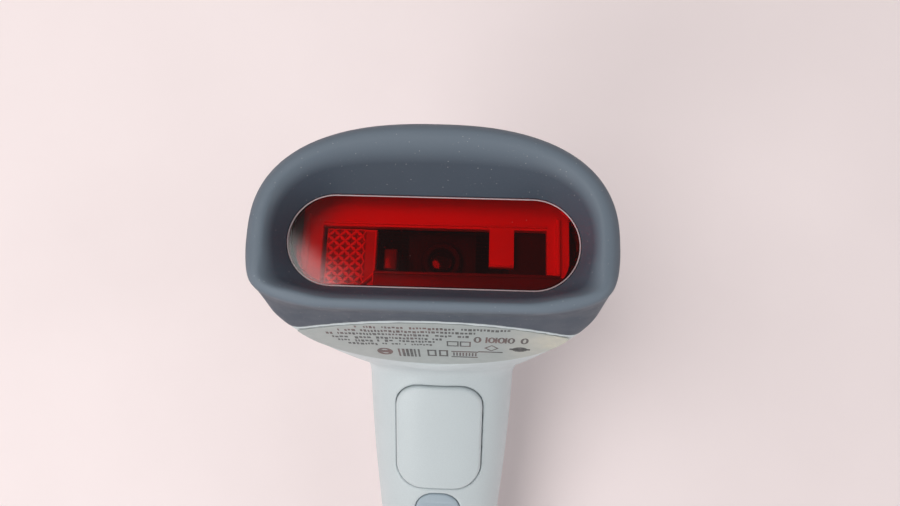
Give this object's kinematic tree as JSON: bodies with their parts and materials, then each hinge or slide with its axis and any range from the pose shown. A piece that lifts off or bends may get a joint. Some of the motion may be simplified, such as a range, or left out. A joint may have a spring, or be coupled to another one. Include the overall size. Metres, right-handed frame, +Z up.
{
  "type": "handheld barcode scanner",
  "caption": "Corded pistol-grip linear-imaging scanner lying on its back: rubber nose with a red window, flat underside, trigger and a modular cable socket.",
  "frame": {"origin": "bottom centre of the bounding box, on the surface the scanner lies on", "axes": "+Z up, out of the upturned window side; -Y from the head along the handle to its end; X across the width"},
  "size_m": [0.076, 0.1781, 0.1297],
  "materials": {
    "shell": "satin",
    "bumper": "matte",
    "grip": "matte",
    "window": "polished",
    "black_plastic": "satin",
    "chassis": "satin",
    "clear": "polished",
    "circuit_board": "solder mask",
    "label": "printed",
    "steel": "zinc plated",
    "gold": "plated",
    "amber_plastic": "satin",
    "led": "clear"
  },
  "bodies": {
    "housing": {"top_housing": "shell", "bottom_housing": "shell", "nose_bumper": "bumper", "grip_insert": "grip", "scan_window": "window", "window_gasket": "black_plastic", "nose_frame": "chassis", "trigger_switch": "black_plastic", "decoder_chip": "black_plastic", "memory_chip": "black_plastic", "beeper": "black_plastic", "cable_socket": "black_plastic", "lens_holder": "black_plastic", "lens_barrel": "black_plastic", "line_sensor": "black_plastic", "sensor_connector": "black_plastic", "board_connector": "black_plastic", "engine_chassis": "chassis", "status_light_pipe": "clear", "illumination_lens": "clear", "aiming_lens": "clear", "objective_lens": "clear", "main_board": "circuit_board", "illumination_board": "circuit_board", "sensor_board": "circuit_board", "label": "label", "trigger_pin": "steel", "trigger_spring": "steel", "socket_contacts": "gold", "ribbon_cable": "amber_plastic", "illumination_led_1": "led", "illumination_led_2": "led", "status_led": "led", "housing_screw_1": "steel", "housing_screw_2": "steel", "housing_screw_3": "steel", "housing_screw_4": "steel", "board_screw_1": "steel", "engine_screw_1": "steel", "board_screw_2": "steel", "engine_screw_2": "steel"},
    "trigger": {"trigger": "shell"},
    "plunger": {"switch_plunger": "amber_plastic"}
  },
  "joints": [
    {"name": "trigger_pull", "type": "hinge", "parent": "housing", "child": "trigger", "pos_m": [0, 0.01797, 0.05597], "axis": [1, 0, 0], "range_deg": [0, 4], "stiffness_Nm_per_rad": 0.25, "springref_deg": -4.01, "deforming": ["trigger_spring"]},
    {"name": "plunger_travel", "type": "slide", "parent": "housing", "child": "plunger", "axis": [0, 0.2588, -0.9659], "range_m": [0, 0.0014]}
  ],
  "couplings": [
    {"joint": "plunger_travel", "follows": "trigger_pull", "m_per_rad": 0.0185}
  ]
}
